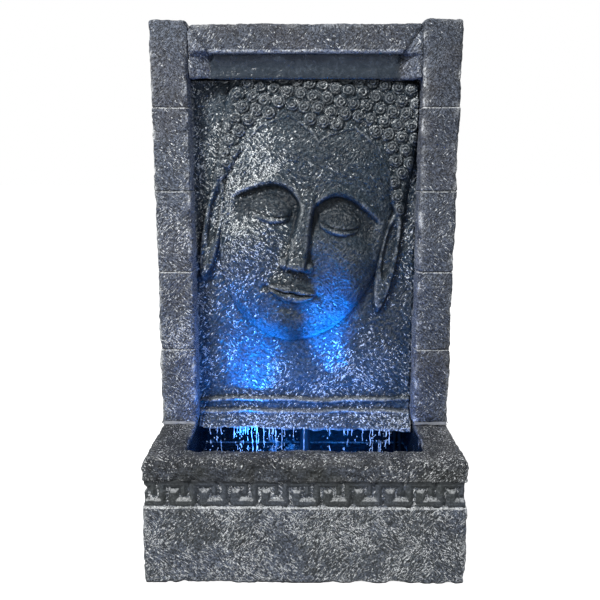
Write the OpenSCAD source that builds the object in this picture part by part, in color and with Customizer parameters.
// Wall-style water fountain: a cast basin carries a framed wall with a carved relief.
// A submersible pump lifts water to a header trough, and it runs down the relief again.
// Millimetres. +Z is up, the relief faces -Y, and the origin is the centre of the base.

/* [Basin] */
// Width of the plinth, the widest part of the fountain
plinth_w = 462; // [450:1:480]
// Depth from the front of the basin to the back of the wall
body_d = 260; // [256:1:280]
// Height of the basin, from the ground to the top of its rim
basin_h = 190; // [186:1:200]
// Height of the plain lower band
plinth_h = 119; // [112:1:122]
// Height of the rim band
rim_h = 35; // [32:1:38]
// Width of the flat rim at the front
rim_front = 34; // [30:1:38]
// Width of the flat rim at the sides
rim_side = 57; // [56:1:58]
// Depth by which the key-pattern band is set back
frieze_inset = 5; // [4:0.5:6]
// Length of one unit of the key pattern
key_pitch = 43; // [42:0.5:44]
// Inside floor of the basin above the ground
floor_z = 22; // [20:1:24]

/* [Wall] */
// Width of the framed wall
wall_w = 456; // [450:1:460]
// Height of the corner posts above the ground
wall_h = 804; // [800:1:820]
// Distance from the front of the basin back to the face of the wall
basin_reach = 142; // [138:1:144]
// Width of each post
post_w = 55; // [53:1:56]
// Height of the lintel's face
lintel_h = 40; // [38:1:42]
// Height of the drip board under the lintel
hood_h = 36; // [34:1:38]
// Depth of the drip board behind the wall's face
hood_depth = 20; // [18:1:22]
// Depth of the carved panel behind the wall's face
recess = 45; // [44:1:48]
// Thickness of the cast walls
skin = 8; // [7:0.5:9]
// Number of stone courses drawn on each post
courses = 5; // [4:1:6]

/* [Relief] */
// Half of the head's width
head_half_w = 140; // [130:1:145]
// Half of the head's height
head_half_h = 200; // [190:1:205]
// Lean of the head towards +X, in degrees
head_lean = 10; // [0:1:12]
// Greatest rise of the cheeks above the panel
head_relief = 24; // [18:1:26]

/* [Lights] */
// Place of the left light along X
left_light_x = -98; // [-102:1:-90]
// Place of the right light along X
right_light_x = 64; // [60:1:72]
// Lean of the left light's beam from upright, in degrees
left_light_tilt = 21; // [10:1:30]
// Lean of the right light's beam from upright, in degrees
right_light_tilt = 14; // [10:1:30]

/* [Hidden] */
$fn = 48;

// Places that follow from the driving dimensions
front_y = -body_d / 2;
back_y = body_d / 2;
wall_y = front_y + basin_reach;
panel_y = wall_y + recess;
panel_t = 12;
post_in = wall_w / 2 - post_w;
wall_top = wall_h - 6;
lintel_z = wall_top - lintel_h;
hood_z = lintel_z - hood_h;
hood_y = wall_y + hood_depth;
course_h = (wall_h - basin_h) / courses;
rim_half = plinth_w / 2 - 1;
frieze_half = plinth_w / 2 - frieze_inset;
tub_half = plinth_w / 2 - rim_side;
tub_front = front_y + rim_front;
tub_back = back_y - 12;
tub_skin = 7;
tub_corner = 8;
rim_t = 10;
frieze_z = basin_h - rim_h;
cover_y = back_y - 6;
cover_half = wall_w / 2 - skin - 0.5;
cover_z0 = basin_h + 0.5;
cover_z1 = wall_top - skin - 0.5;

stone = [0.23, 0.24, 0.26];
wet_stone = [0.14, 0.17, 0.21];
black_plastic = [0.07, 0.07, 0.08];
grey_plastic = [0.35, 0.36, 0.38];
rubber = [0.05, 0.05, 0.05];
steel = [0.72, 0.73, 0.75];

// ---------- small shared shapes ----------

// A box from its lowest to its highest corner
module block(low, high) {
  translate(low) cube(high - low);
}

// A cylinder along X from x0 to x1
module rod_x(r, x0, x1, y, z) {
  translate([x0, y, z]) rotate([0, 90, 0]) cylinder(r = r, h = x1 - x0);
}

// A cylinder along Y from y0 to y1
module rod_y(r, y0, y1, x, z) {
  translate([x, y0, z]) rotate([-90, 0, 0]) cylinder(r = r, h = y1 - y0);
}

// A rectangle with round corners, centred at the origin
module round_rect(w, d, r) {
  square([w - 2 * r, d], center = true);
  square([w, d - 2 * r], center = true);
  for (sx = [-1, 1], sy = [-1, 1])
    translate([sx * (w / 2 - r), sy * (d / 2 - r)]) circle(r);
}

// A mirrored pair about the plane x = 0
module both_sides() {
  children();
  mirror([1, 0, 0]) children();
}

// ---------- basin ----------

key_bar = 5.5;      // width of a thin stroke
key_leg = 8;        // width of the upright at a unit's start
key_raise = 3;      // height of a stroke above the band
key_margin = 1.5;   // gap above and below the pattern
key_lap = 0.01;     // how far a unit runs into the next
rim_round = 12;     // rounding of the rim's top edge

// One squared hook of the key pattern, drawn in X and Y
module key_unit(h) {
  right = key_pitch - 7;
  hook_y = h * 0.42;
  square([key_leg, h]);
  translate([0, h - key_bar - 2]) square([right, key_bar + 2]);
  translate([right - key_bar - 1.5, hook_y]) square([key_bar + 1.5, h - hook_y]);
  translate([right - 13, hook_y]) square([13, key_bar]);
  square([key_pitch + key_lap, 3]);
}

// The key pattern along a face of that length, cut off square at both ends
module key_band(length) {
  h = frieze_z - plinth_h - 2 * key_margin;
  count = ceil(length / key_pitch);
  start = (length - count * key_pitch) / 2;
  linear_extrude(key_raise + 1) intersection() {
    union() for (i = [0 : count - 1]) translate([start + i * key_pitch, 0]) key_unit(h);
    square([length, h]);
  }
}

module frieze_keys() {
  z = plinth_h + key_margin;
  face_y = front_y + frieze_inset;
  translate([-frieze_half, face_y + 1, z]) rotate([90, 0, 0]) key_band(2 * frieze_half);
  side = body_d - frieze_inset;
  translate([frieze_half - 1, face_y, z]) rotate([90, 0, 90]) key_band(side);
  translate([-frieze_half + 1, back_y, z]) rotate([90, 0, -90]) key_band(side);
}

// The rim band, with its front and side top edges rounded
module rim_band() {
  top = basin_h - rim_round;
  intersection() {
    union() {
      block([-rim_half, front_y + 1, frieze_z], [rim_half, back_y, top]);
      block([-rim_half, front_y + 1 + rim_round, frieze_z], [rim_half, back_y, basin_h]);
      rod_x(rim_round, -rim_half, rim_half, front_y + 1 + rim_round, top);
    }
    union() {
      block([-rim_half, front_y, frieze_z], [rim_half, back_y, top]);
      block([-rim_half + rim_round, front_y, frieze_z], [rim_half - rim_round, back_y, basin_h]);
      for (s = [-1, 1]) rod_y(rim_round, front_y, back_y, s * (rim_half - rim_round), top);
    }
  }
}

module tub_shape(grow, z0, z1) {
  depth = tub_back - tub_front;
  translate([0, (tub_front + tub_back) / 2, z0]) linear_extrude(z1 - z0)
    round_rect(2 * (tub_half + grow), depth + 2 * grow, tub_corner + grow);
}

drain_x = 130;
drain_y = 20;
drain_r = 9;

module basin() {
  color(stone) difference() {
    union() {
      block([-plinth_w / 2, front_y, 0], [plinth_w / 2, back_y, plinth_h]);
      block([-frieze_half, front_y + frieze_inset, plinth_h - 1],
            [frieze_half, back_y, frieze_z + 1]);
      rim_band();
      frieze_keys();
    }
    tub_shape(0, floor_z, basin_h + 1);
    difference() {
      wall = frieze_inset + skin;
      block([-plinth_w / 2 + wall, front_y + wall, -1],
            [plinth_w / 2 - wall, tub_back, basin_h - rim_t]);
      tub_shape(tub_skin, floor_z - skin, basin_h);
    }
    translate([drain_x, drain_y, 0]) cylinder(r = drain_r, h = floor_z + 1);
    for (p = bracket_holes()) translate([p[0], p[1], floor_z - 5]) cylinder(r = 1.5, h = 6);
    block([rim_seam_x - 1, front_y - 1, frieze_z], [rim_seam_x + 1, front_y + 2.5, basin_h - 4]);
  }
}

rim_seam_x = -73;

module drain_plug() {
  color(rubber) translate([drain_x, drain_y, 0]) {
    translate([0, 0, floor_z - skin - 3]) cylinder(r = drain_r, h = skin + 3);
    translate([0, 0, floor_z]) cylinder(r = 13, h = 3);
    translate([0, 0, floor_z + 3]) cylinder(r = 3, h = 5);
  }
}

// ---------- framed wall ----------

groove_h = 2.4;
groove_d = 2;
panel_screw_z = [250, 450, 680];
panel_screw_x = post_in + 22;
cover_screw_z = [215, 420, 600, 770];
cover_screw_x = cover_half - 9;
ear_x = 156;
ear_z = 742;

module post_body() {
  side = wall_w / 2;
  block([side - skin, wall_y, basin_h], [side, back_y, wall_h]);
  block([post_in, wall_y, basin_h], [side, wall_y + skin, wall_h]);
  block([post_in, wall_y, basin_h], [post_in + skin, panel_y, wall_h]);
  block([post_in, wall_y, wall_h - skin], [side, back_y, wall_h]);
}

shoulder_x = 143;
shoulder_in = 4;

// The lintel and the drip board under it. At each end a shoulder slants out to the post
module lintel_body() {
  half = post_in + 1;
  block([-half, wall_y, lintel_z], [half, wall_y + skin, wall_top]);
  block([-half, wall_y, wall_top - skin], [half, back_y, wall_top]);
  block([-half, wall_y, lintel_z], [half, hood_y + 6, lintel_z + 6]);
  block([-half, hood_y, hood_z], [half, hood_y + 6, lintel_z + 6]);
  both_sides() translate([0, 0, hood_z]) linear_extrude(lintel_z + 1 - hood_z)
    polygon([[shoulder_x, hood_y + 1], [half, wall_y + shoulder_in], [half, hood_y + 1]]);
}

module course_grooves() {
  side = wall_w / 2;
  for (i = [1 : courses - 1]) {
    z = basin_h + i * course_h - groove_h / 2;
    block([post_in - 1, wall_y - 1, z], [side + 1, wall_y + groove_d, z + groove_h]);
    block([side - groove_d, wall_y, z], [side + 1, back_y + 1, z + groove_h]);
  }
}

lip_half = 134;
lip_z = 750;
bead = 5;
bead_side = 1.8;

module wall_surround() {
  color(stone) difference() {
    union() {
      both_sides() {
        post_body();
        for (z = panel_screw_z) rod_y(7, wall_y + 2, panel_y, panel_screw_x, z);
        for (z = cover_screw_z) {
          rod_y(7, cover_y - 26, cover_y, cover_screw_x, z);
          block([cover_screw_x, cover_y - 26, z - 4], [wall_w / 2 - 2, cover_y, z + 4]);
        }
        rod_y(6, hood_y + 2, hood_y + 14, ear_x, ear_z);
      }
      lintel_body();
    }
    both_sides() {
      course_grooves();
      for (z = panel_screw_z) rod_y(2, panel_y - 14, panel_y + 1, panel_screw_x, z);
      for (z = cover_screw_z) rod_y(2, cover_y - 16, cover_y + 1, cover_screw_x, z);
      rod_y(1.5, hood_y + 5, hood_y + 15, ear_x, ear_z);
    }
    block([-lip_half - 2, hood_y - 1, lip_z - 2], [lip_half + 2, hood_y + 7, lip_z + 5]);
  }
}

// Bead of sealant along the foot of each post
module joint_sealant() {
  color([0.5, 0.5, 0.5]) both_sides() {
    translate([post_in + 1, 0, 0]) rotate([90, 0, 90]) linear_extrude(post_w - 3)
      polygon([[wall_y, basin_h], [wall_y, basin_h + bead], [wall_y - bead, basin_h]]);
    translate([wall_w / 2, back_y - 1, 0]) rotate([90, 0, 0]) linear_extrude(back_y - wall_y - 2)
      polygon([[0, basin_h], [bead_side, basin_h], [0, basin_h + bead]]);
  }
}

// ---------- carved panel ----------

head_z = 518;
apron_z = 173;
apron_drop = 6;
apron_out = 31;
ledge_z = [218, 200];
ledge_out = 8;
panel_half = cover_half - 16;
panel_top = hood_z + 2;
face_half = post_in - 2;
edge_gap = 1.5;
panel_columns = 12;
panel_row = 15;

function clamp01(t) = max(0, min(1, t));
function bell(t, centre, width) = exp(-pow((t - centre) / width, 2));

// The broad dome of the head
function dome(u, v) =
  let (r2 = pow(u / head_half_w, 2) + pow(v / head_half_h, 2))
  r2 < 1 ? head_relief * pow(1 - r2, 0.4) : 0;

// The nose: a ridge that widens and rises towards its tip
function nose(u, v) =
  let (along = clamp01((30 - v) / 110))
  v > 30 || v < -84 ? 0 : (4 + 12 * along) * bell(u, 0, 9 + 11 * along);

// The closed lips
function lips(u, v) = 5 * bell(u, 0, 30) * bell(v, -121, 12);

// Rise of the carving above the panel at x, z. u and v follow the leaning head
function rise(x, z) =
  let (dz = z - head_z,
       u = x * cos(head_lean) - dz * sin(head_lean),
       v = x * sin(head_lean) + dz * cos(head_lean))
  dome(u, v) + (dome(u, v) > 4 ? nose(u, v) + lips(u, v) : 0);

// How far the two ledges and the apron stand out, by height
ledge_profile = [
  [apron_z, apron_out], [apron_z + apron_drop, apron_out],
  [ledge_z[1] - 2, 2 * ledge_out], [ledge_z[1] + 1, ledge_out],
  [ledge_z[0] - 2, ledge_out], [ledge_z[0] + 1, 0]
];

// The front surface, and the back surface one thickness behind it
function front_at(x, z) = panel_y - (abs(x) > face_half ? 0 : lookup(z, ledge_profile) + rise(x, z));
function back_at(x, z) = panel_t + (abs(x) > face_half - 20 ? panel_y : front_at(x, z));

// The panel is wider than the basin's opening, so below the rim its columns draw in
function column_x(x, z) =
  abs(x) > face_half && z < basin_h + 2 ? sign(x) * (face_half + (abs(x) - face_half) / 50) : x;

// The panel as one closed sheet: a grid of points in front and another behind
module carved_sheet() {
  side = [face_half + edge_gap, panel_half];
  columns = concat([-side[1], -side[0]],
                   [for (i = [-panel_columns : panel_columns]) i * face_half / panel_columns],
                   side);
  rows = concat([apron_z, apron_z + apron_drop, basin_h + 1, basin_h + 2.5],
                [ledge_z[1] - 2, ledge_z[1] + 1, ledge_z[0] - 2, ledge_z[0] + 1],
                [for (z = [ledge_z[0] + panel_row : panel_row : panel_top - 5]) z], [panel_top]);
  nx = len(columns);
  nz = len(rows);
  total = nx * nz;
  front = [for (z = rows, x = columns) [column_x(x, z), front_at(x, z), z]];
  back = [for (z = rows, x = columns) [column_x(x, z), back_at(x, z), z]];
  rim = concat([for (i = [0 : nx - 1]) i], [for (j = [1 : nz - 1]) j * nx + nx - 1],
               [for (i = [nx - 2 : -1 : 0]) (nz - 1) * nx + i], [for (j = [nz - 2 : -1 : 1]) j * nx]);
  cells = [for (j = [0 : nz - 2], i = [0 : nx - 2]) j * nx + i];
  front_faces = [for (c = cells) each [[c, c + nx, c + nx + 1], [c, c + nx + 1, c + 1]]];
  back_faces = [for (f = front_faces) [f[2] + total, f[1] + total, f[0] + total]];
  edge_faces = [for (k = [0 : len(rim) - 1])
    let (a = rim[k], b = rim[(k + 1) % len(rim)])
    each [[a, b, b + total], [a, b + total, a + total]]];
  polyhedron(concat(front, back), concat(front_faces, back_faces, edge_faces));
}

module relief_panel() {
  color(wet_stone) difference() {
    carved_sheet();
    both_sides() for (z = panel_screw_z)
      rod_y(2.5, panel_y - 1, panel_y + panel_t + 1, panel_screw_x, z);
  }
}

// ---------- rear cover and hatch ----------

hatch_half = 92;
hatch_z0 = 222;
hatch_z1 = 392;
slide_half = hatch_half + 10;
slide_y0 = cover_y - 6;
slide_y1 = cover_y - 1.5;
stop_z = hatch_z0 - 12;
rail_top = hatch_z1 + 30;
socket_x = 150;
socket_z = 238;

module hatch_rail() {
  side = slide_half + 1;
  block([side, slide_y0 - 4.5, stop_z - 4], [side + 4, cover_y + 1, rail_top]);
  block([side - 5, slide_y0 - 4.5, stop_z - 4], [side + 4, slide_y0 - 1, rail_top]);
}

module rear_cover() {
  color(grey_plastic) difference() {
    union() {
      block([-cover_half, cover_y, cover_z0], [cover_half, back_y, cover_z1]);
      both_sides() hatch_rail();
      block([-slide_half - 2, slide_y0 - 4.5, stop_z - 4], [slide_half + 2, cover_y + 1, stop_z]);
    }
    block([-hatch_half, cover_y - 1, hatch_z0], [hatch_half, back_y + 1, hatch_z1]);
    rod_y(8, cover_y - 1, back_y + 1, socket_x, socket_z);
    rod_y(12, cover_y + 2, back_y + 1, socket_x, socket_z);
    both_sides() for (z = cover_screw_z) {
      rod_y(2.5, cover_y - 1, back_y + 1, cover_screw_x, z);
      rod_y(4.6, back_y - 3, back_y + 1, cover_screw_x, z);
    }
  }
}

module access_hatch() {
  color(grey_plastic) block([-slide_half, slide_y0, stop_z], [slide_half, slide_y1, hatch_z1 + 8]);
}

// A bar on the hatch that fingers lift, and that stops it at the top of the opening
module hatch_grip() {
  color(black_plastic) {
    block([-30, slide_y1, hatch_z0 + 8], [30, cover_y + 4, hatch_z0 + 14]);
    block([-30, cover_y + 1, hatch_z0 + 4], [30, cover_y + 4, hatch_z0 + 14]);
  }
}

// ---------- water path at the top ----------

trough_half = 145;
trough_y0 = hood_y + 8;
trough_y1 = 100;
trough_z = hood_z + 6;
trough_top = 768;
trough_t = 3;
hose_y = 85;
hose_r = 8.3;
hose_bore = 6.3;
barb_r = 6.2;
barb_bore = 4.8;
locknut_h = 6;

module header_trough() {
  t = trough_t;
  color(black_plastic) difference() {
    union() {
      block([-trough_half, trough_y0, trough_z], [trough_half, trough_y1, trough_top]);
      both_sides() block([trough_half - 1, hood_y + 14, ear_z - 9],
                         [ear_x + 8, hood_y + 17, ear_z + 9]);
      block([-lip_half, hood_y - 2, lip_z], [lip_half, trough_y0 + 1, lip_z + 2]);
    }
    block([-trough_half + t, trough_y0 + t, trough_z + t],
          [trough_half - t, trough_y1 - t, trough_top + 1]);
    block([-lip_half, trough_y0 - 1, lip_z + 2], [lip_half, trough_y0 + t + 1, trough_top + 1]);
    translate([0, hose_y, trough_z - 1]) cylinder(r = barb_r + 0.2, h = t + 2);
    both_sides() rod_y(1.8, hood_y + 13, hood_y + 18, ear_x, ear_z);
  }
}

// Barbed fitting through the trough's floor, with a flange inside
module trough_inlet() {
  z0 = trough_z - 30;
  color(black_plastic) translate([0, hose_y, 0]) difference() {
    union() {
      translate([0, 0, z0]) cylinder(r = barb_r, h = 36);
      translate([0, 0, trough_z + trough_t]) cylinder(r = 10, h = 3);
    }
    translate([0, 0, z0 - 1]) cylinder(r = barb_bore, h = 38);
  }
}

module inlet_locknut() {
  color(black_plastic) translate([0, hose_y, trough_z - locknut_h]) difference() {
    cylinder(r = 11, h = locknut_h, $fn = 6);
    translate([0, 0, -1]) cylinder(r = barb_r, h = locknut_h + 2);
  }
}

hose_z0 = 97;
hose_z1 = trough_z - locknut_h - 1;

module riser_hose() {
  color([0.1, 0.1, 0.11]) translate([0, hose_y, hose_z0]) difference() {
    cylinder(r = hose_r, h = hose_z1 - hose_z0);
    translate([0, 0, -1]) cylinder(r = hose_bore, h = hose_z1 - hose_z0 + 2);
  }
}

module hose_clamp(z) {
  translate([0, hose_y, z]) {
    difference() {
      cylinder(r = hose_r + 0.9, h = 9);
      translate([0, 0, -1]) cylinder(r = hose_r, h = 11);
    }
    block([-4, hose_r + 0.6, 0], [4, hose_r + 5, 9]);
    translate([-7, hose_r + 2.8, 4.5]) rotate([0, 90, 0]) cylinder(r = 2.4, h = 3.01, $fn = 6);
  }
}

module hose_clamps() {
  color(steel) {
    hose_clamp(hose_z0 + 6);
    hose_clamp(hose_z1 - 16);
  }
}

// ---------- pump ----------

pump_z = 58;
pump_y = hose_y;
pump_x0 = 14;
pump_x1 = 80;
pump_half = 25;
pump_low = pump_z - 28;
volute_r = 22;
chamber_r = 17.5;
shaft_r = 1.5;
bush_r = 4;
front_bush_r = 3;
flange_half = 24;
screw_off = 20;

module pump_housing() {
  color(black_plastic) difference() {
    union() {
      block([pump_x0, pump_y - pump_half, pump_low], [pump_x1, pump_y + pump_half, pump_z + 28]);
      rod_x(5, pump_x1 - 1, pump_x1 + 7, pump_y, pump_z + 12);
    }
    rod_x(9.6, pump_x0 - 1, pump_x0 + 44, pump_y, pump_z);
    rod_x(bush_r, pump_x0 + 43, pump_x0 + 50, pump_y, pump_z);
    for (p = foot_places()) translate([p[0], p[1], pump_low - 1]) cylinder(r = 3, h = 5);
    for (sy = [-1, 1], sz = [-1, 1])
      rod_x(1.5, pump_x0 - 1, pump_x0 + 9, pump_y + sy * screw_off, pump_z + sz * screw_off);
    for (x = [24 : 8 : 72])
      block([x, pump_y - pump_half - 1, pump_z + 26.5], [x + 3, pump_y + pump_half + 1, pump_z + 29]);
  }
}

// Impeller chamber with a spider for the front bush and an upright outlet
module pump_volute() {
  color(grey_plastic) difference() {
    union() {
      difference() {
        union() {
          rod_x(volute_r, -12, pump_x0, pump_y, pump_z);
          block([pump_x0 - 4, pump_y - flange_half, pump_z - flange_half],
                [pump_x0, pump_y + flange_half, pump_z + flange_half]);
          translate([0, pump_y, pump_z]) cylinder(r = 8, h = 34);
        }
        rod_x(chamber_r, -8, pump_x0 + 1, pump_y, pump_z);
        rod_x(10, -13, -7, pump_y, pump_z);
        translate([0, pump_y, pump_z + 5]) cylinder(r = 5.5, h = 30);
      }
      rod_x(4.5, -12, -8, pump_y, pump_z);
      for (a = [90, 210, 330]) translate([-12, pump_y, pump_z]) rotate([a, 0, 0])
        translate([0, -1.2, 3.5]) cube([4, 2.4, 7.5]);
    }
    rod_x(front_bush_r, -13, -7, pump_y, pump_z);
    for (sy = [-1, 1], sz = [-1, 1])
      rod_x(1.8, pump_x0 - 5, pump_x0 + 1, pump_y + sy * screw_off, pump_z + sz * screw_off);
    translate([pump_x0, pump_y, pump_z]) rotate([0, 90, 0]) rotate_extrude()
      translate([19.8, 0]) circle(1.2);
  }
}

module pump_seal() {
  color(rubber) translate([pump_x0 - 0.6, pump_y, pump_z]) rotate([0, 90, 0]) rotate_extrude()
    translate([19.8, 0]) intersection() {
      translate([0, 0.6]) circle(1.2);
      translate([-2, -2]) square([4, 2.6]);
    }
}

// Magnet rotor with a bladed wheel on its nose
module pump_impeller() {
  color([0.85, 0.86, 0.87]) difference() {
    union() {
      rod_x(9.1, pump_x0 + 3, pump_x0 + 40, pump_y, pump_z);
      rod_x(4, -6, pump_x0 + 4, pump_y, pump_z);
      rod_x(14, 3, 5, pump_y, pump_z);
      for (i = [0 : 5]) translate([-5, pump_y, pump_z]) rotate([i * 60, 0, 0])
        translate([0, -0.8, 3]) cube([8.5, 1.6, 10.6]);
    }
    rod_x(shaft_r + 0.05, -7, pump_x0 + 41, pump_y, pump_z);
  }
}

module impeller_shaft() {
  color("white") rod_x(shaft_r, -12, pump_x0 + 48, pump_y, pump_z);
}

module impeller_bushes() {
  color(rubber) {
    difference() {
      rod_x(bush_r, pump_x0 + 42, pump_x0 + 50, pump_y, pump_z);
      rod_x(shaft_r, pump_x0 + 41, pump_x0 + 48, pump_y, pump_z);
    }
    difference() {
      rod_x(front_bush_r, -12, -8, pump_y, pump_z);
      rod_x(shaft_r, -13, -7, pump_y, pump_z);
    }
  }
}

cover_x0 = -38;

// Slotted cap over the volute's front, with windows behind the dial
module pump_intake_cover() {
  color(black_plastic) difference() {
    rod_x(24.5, cover_x0, -8.3, pump_y, pump_z);
    rod_x(volute_r + 0.2, cover_x0 + 3, -5, pump_y, pump_z);
    rod_x(3.1, cover_x0 - 1, cover_x0 + 4, pump_y, pump_z);
    for (a = [0, 180]) translate([cover_x0 - 1, pump_y, pump_z]) rotate([a, 0, 0])
      translate([0, 0, 9]) rotate([0, 90, 0]) cylinder(r = 4, h = 5);
    for (i = [0 : 11]) translate([cover_x0 + 6, pump_y, pump_z]) rotate([15 + i * 30, 0, 0])
      translate([0, -1.5, 20]) cube([18, 3, 6]);
  }
}

// Dial that covers or uncovers the intake windows
module flow_dial() {
  face = cover_x0 - 0.3;
  color([0.2, 0.35, 0.6]) difference() {
    union() {
      rod_x(16, face - 3, face, pump_y, pump_z);
      rod_x(3, face - 1, cover_x0 + 6, pump_y, pump_z);
      rod_x(4.2, cover_x0 + 3.3, cover_x0 + 6, pump_y, pump_z);
      block([face - 9, pump_y - 14, pump_z - 2], [face - 2, pump_y + 14, pump_z + 2]);
    }
    for (a = [0, 180]) translate([face - 4, pump_y, pump_z]) rotate([a, 0, 0])
      translate([0, 0, 9]) rotate([0, 90, 0]) cylinder(r = 4, h = 6);
  }
}

nozzle_z = pump_z + 28;

module pump_outlet_nozzle() {
  color(black_plastic) translate([0, pump_y, 0]) difference() {
    union() {
      translate([0, 0, nozzle_z]) cylinder(r = 10.5, h = 10);
      translate([0, 0, nozzle_z + 9]) cylinder(r = barb_r, h = 24);
    }
    translate([0, 0, nozzle_z - 1]) cylinder(r = 8, h = 7);
    translate([0, 0, nozzle_z]) cylinder(r = barb_bore, h = 34);
  }
}

function foot_places() = [for (x = [24, 70], y = [pump_y - 17, pump_y + 17]) [x, y]];

module pump_feet() {
  h = pump_low - floor_z;
  profile = [[0, 3], [7, 0], [9, 0], [8.4, 2], [5, 5], [2.5, h - 2], [4.5, h - 1], [4.5, h],
             [3, h], [3, h + 3.8], [0, h + 3.8]];
  color([0.16, 0.16, 0.17]) for (p = foot_places())
    translate([p[0], p[1], floor_z]) rotate_extrude() polygon(profile);
}

// A pan-head screw along +Y: the head's underside is at y, and the shank runs on from there
module screw_y(x, y, z, shank, r = 2, head_r = 4, head_h = 2.5) {
  rod_y(r, y - 0.5, y + shank, x, z);
  difference() {
    rod_y(head_r, y - head_h, y, x, z);
    block([x - 0.5, y - head_h - 1, z - head_r * 0.6], [x + 0.5, y - head_h + 1, z + head_r * 0.6]);
  }
}

// The same screw, pointing along -Y
module screw_back(x, y, z, shank, r = 2, head_r = 4, head_h = 2.5) {
  translate([0, y, 0]) mirror([0, 1, 0]) screw_y(x, 0, z, shank, r, head_r, head_h);
}

module pump_screws() {
  color(steel) for (sy = [-1, 1], sz = [-1, 1]) {
    y = pump_y + sy * screw_off;
    z = pump_z + sz * screw_off;
    rod_x(1.5, pump_x0 - 4.5, pump_x0 + 8, y, z);
    rod_x(2.8, pump_x0 - 6, pump_x0 - 4, y, z);
  }
}

// ---------- lights ----------

light_y = -48;
light_z = 58;
light_r = 24;
light_h = 20;
arm_x = 27;
arm_t = 2.5;
pivot_r = 2;
pivot_head = 4;
pivot_end = arm_x + arm_t + pivot_head;
bracket_d = 22;
bracket_hole = 16;

// Places a light's turning parts: local +Z becomes the beam
module aimed(x, tilt) {
  translate([x, light_y, light_z]) rotate([-tilt, 0, 0]) children();
}

function bracket_holes() =
  [for (x = [left_light_x, right_light_x], s = [-1, 1]) [x + s * bracket_hole, light_y]];

module light_bracket(x) {
  color(black_plastic) translate([x, light_y, 0]) difference() {
    union() {
      block([-arm_x - arm_t, -bracket_d / 2, floor_z], [arm_x + arm_t, bracket_d / 2, floor_z + arm_t]);
      both_sides() {
        block([arm_x, -bracket_d / 2, floor_z], [arm_x + arm_t, bracket_d / 2, light_z]);
        rod_x(bracket_d / 2, arm_x, arm_x + arm_t, 0, light_z);
      }
    }
    rod_x(pivot_r, -arm_x - 5, arm_x + 5, 0, light_z);
    both_sides() translate([bracket_hole, 0, floor_z - 1]) cylinder(r = 1.8, h = 5);
  }
}

module light_body(x, tilt) {
  color(black_plastic) aimed(x, tilt) difference() {
    union() {
      translate([0, 0, -light_h / 2]) cylinder(r = light_r, h = light_h);
      rod_x(6, -arm_x + 0.5, arm_x - 0.5, 0, 0);
    }
    translate([0, 0, -light_h / 2 + 4]) cylinder(r = 19.5, h = light_h);
    translate([0, 0, light_h / 2 - 4]) cylinder(r = 22, h = 5);
    rod_x(pivot_r + 0.05, -arm_x - 1, -20.5, 0, 0);
    rod_x(pivot_r + 0.05, 20.5, arm_x + 1, 0, 0);
  }
}

module light_gasket(x, tilt) {
  color(rubber) aimed(x, tilt) translate([0, 0, light_h / 2 - 4]) difference() {
    cylinder(r = 22, h = 1);
    translate([0, 0, -1]) cylinder(r = 19.5, h = 3);
  }
}

module light_lens(x, tilt) {
  color([0.75, 0.85, 1.0, 0.4]) aimed(x, tilt) translate([0, 0, light_h / 2 - 3])
    cylinder(r = 22, h = 3);
}

// Round circuit board with a ring of emitters
module light_board(x, tilt) {
  color([0.2, 0.45, 1.0]) aimed(x, tilt) {
    translate([0, 0, -light_h / 2 + 4]) cylinder(r = 19, h = 1.6);
    for (i = [0 : 5]) rotate([0, 0, i * 60]) translate([11, 0, -light_h / 2 + 5.5])
      cylinder(r = 2.5, h = 3);
  }
}

module light_pivots(x) {
  color(steel) translate([x, 0, 0]) both_sides() {
    rod_x(pivot_r, 20.6, arm_x + arm_t + 0.5, light_y, light_z);
    rod_x(5, arm_x + arm_t, pivot_end, light_y, light_z);
  }
}

module bracket_screws() {
  color(steel) for (p = bracket_holes()) translate([p[0], p[1], 0]) {
    translate([0, 0, floor_z - 4.5]) cylinder(r = 1.5, h = 8);
    translate([0, 0, floor_z + arm_t]) cylinder(r = 3, h = 1.8);
  }
}

// ---------- power socket and leads ----------

socket_in = cover_y - 17;

module power_socket() {
  color(black_plastic) difference() {
    union() {
      rod_y(11.5, cover_y + 3, back_y, socket_x, socket_z);
      rod_y(7.9, socket_in, cover_y + 4, socket_x, socket_z);
    }
    rod_y(3.2, back_y - 12, back_y + 1, socket_x, socket_z);
  }
}

module socket_gasket() {
  color(rubber) difference() {
    rod_y(11.5, cover_y + 2, cover_y + 3, socket_x, socket_z);
    rod_y(8, cover_y + 1, cover_y + 4, socket_x, socket_z);
  }
}

module socket_nut() {
  color(black_plastic) difference() {
    translate([socket_x, cover_y - 6, socket_z]) rotate([-90, 0, 0]) cylinder(r = 13, h = 6, $fn = 6);
    rod_y(7.9, cover_y - 7, cover_y + 1, socket_x, socket_z);
  }
}

lead_r = 2;
lead_sides = 8;
lead_steps = 4;

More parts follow.
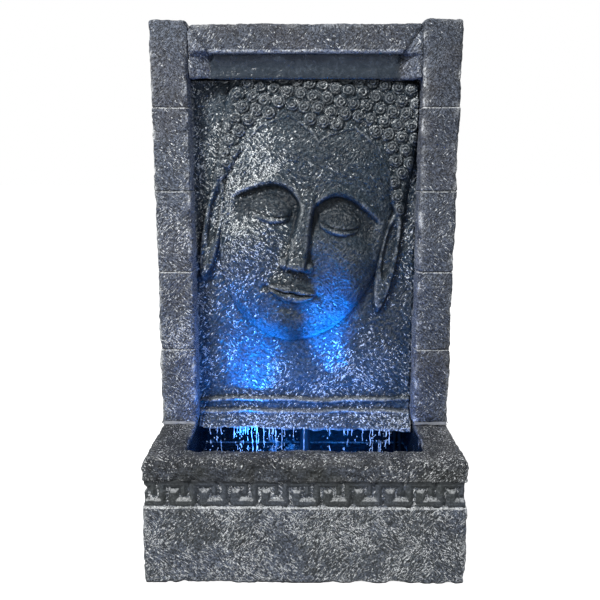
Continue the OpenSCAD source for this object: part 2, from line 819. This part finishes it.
// Routes of the three leads, from each unit to the socket's inner face
pump_route = [
  [87, 85, 70], [97, 85, 70], [110, 92, 74], [124, 104, 88], [134, 110, 112], [140, 110, 145],
  [143, 109, 180], [144, 104, 210], [145, 99, 228], [145.5, 101, 238], [145.5, 107, 241]
];
left_route = [
  [left_light_x - pivot_end, light_y, light_z], [-140, -48, 58], [-150, -44, 48],
  [-156, -30, 32], [-152, -4, 25], [-130, 24, 25], [-90, 38, 25], [-30, 42, 25], [40, 42, 25],
  [96, 46, 25], [134, 64, 26], [150, 92, 38], [156, 106, 70], [157, 110, 120], [154, 108, 180],
  [151.5, 103, 206], [150, 98, 226], [150, 99, 234], [150, 107, 235]
];
right_route = [
  [right_light_x + pivot_end, light_y, light_z], [106, -48, 58], [115, -44, 47],
  [124, -30, 30], [136, -8, 25], [149, 14, 25], [156, 36, 25], [160, 62, 26], [162, 88, 36],
  [165, 102, 62], [166, 108, 110], [162.5, 107, 170], [158, 102, 208], [155, 97, 230],
  [154.5, 98, 240], [154.5, 107, 241]
];

// A point on the smooth curve through p, at station s counted in points
function curve_at(p, s) =
  let (n = len(p) - 1, i = min(floor(s), n - 1), t = s - i,
       a = p[max(i - 1, 0)], b = p[i], c = p[i + 1], d = p[min(i + 2, n)])
  0.5 * ((2 * b) + (c - a) * t + (2 * a - 5 * b + 4 * c - d) * t * t
         + (3 * b - a - 3 * c + d) * t * t * t);

function unit(v) = v / norm(v);
function turn(v, ref) = unit(cross(v, ref));

// A tube swept along the smooth curve through the route's points
module lead(route) {
  n = (len(route) - 1) * lead_steps;
  points = [for (k = [0 : n]) curve_at(route, k / lead_steps)];
  heading = [for (k = [0 : n])
    k == 0 ? unit(route[1] - route[0])
    : k == n ? [0, 1, 0]
    : unit(points[k + 1] - points[k - 1])];
  rings = [for (k = [0 : n])
    let (side = turn(heading[k], [0.31, 0.17, 0.94]), up = cross(side, heading[k]))
    for (i = [0 : lead_sides - 1])
      let (a = i * 360 / lead_sides)
      points[k] + lead_r * (cos(a) * side + sin(a) * up)];
  walls = [for (k = [0 : n - 1], i = [0 : lead_sides - 1])
    let (j = (i + 1) % lead_sides, a = k * lead_sides, b = a + lead_sides)
    each [[a + i, b + i, b + j], [a + i, b + j, a + j]]];
  caps = [[for (i = [0 : lead_sides - 1]) i],
          [for (i = [lead_sides - 1 : -1 : 0]) n * lead_sides + i]];
  polyhedron(rings, concat(walls, caps));
}

module pump_lead() { color(rubber) lead(pump_route); }
module left_light_lead() { color(rubber) lead(left_route); }
module right_light_lead() { color(rubber) lead(right_route); }

// ---------- screws in the castings ----------

module panel_screws() {
  color(steel) for (s = [-1, 1], z = panel_screw_z)
    screw_back(s * panel_screw_x, panel_y + panel_t, z, panel_t + 13, 2, 5, 3);
}

module rear_cover_screws() {
  color(steel) for (s = [-1, 1], z = cover_screw_z)
    screw_back(s * cover_screw_x, back_y - 3, z, 18, 2, 4.2, 2.6);
}

module trough_screws() {
  color(steel) for (s = [-1, 1]) screw_back(s * ear_x, hood_y + 17, ear_z, 11, 1.5, 3.2, 2);
}

// ---------- every node ----------

basin();
wall_surround();
joint_sealant();
relief_panel();
rear_cover();
access_hatch();
hatch_grip();
header_trough();
trough_inlet();
inlet_locknut();
riser_hose();
hose_clamps();
pump_housing();
pump_volute();
pump_impeller();
impeller_shaft();
impeller_bushes();
pump_seal();
pump_intake_cover();
flow_dial();
pump_outlet_nozzle();
pump_feet();
pump_screws();
light_bracket(left_light_x);  // left_light_bracket
light_body(left_light_x, left_light_tilt);  // left_light_body
light_lens(left_light_x, left_light_tilt);  // left_light_lens
light_board(left_light_x, left_light_tilt);  // left_light_board
light_gasket(left_light_x, left_light_tilt);  // left_light_gasket
light_pivots(left_light_x);  // left_light_pivots
light_bracket(right_light_x);  // right_light_bracket
light_body(right_light_x, right_light_tilt);  // right_light_body
light_lens(right_light_x, right_light_tilt);  // right_light_lens
light_board(right_light_x, right_light_tilt);  // right_light_board
light_gasket(right_light_x, right_light_tilt);  // right_light_gasket
light_pivots(right_light_x);  // right_light_pivots
power_socket();
socket_nut();
socket_gasket();
pump_lead();
left_light_lead();
right_light_lead();
drain_plug();
panel_screws();
rear_cover_screws();
trough_screws();
bracket_screws();
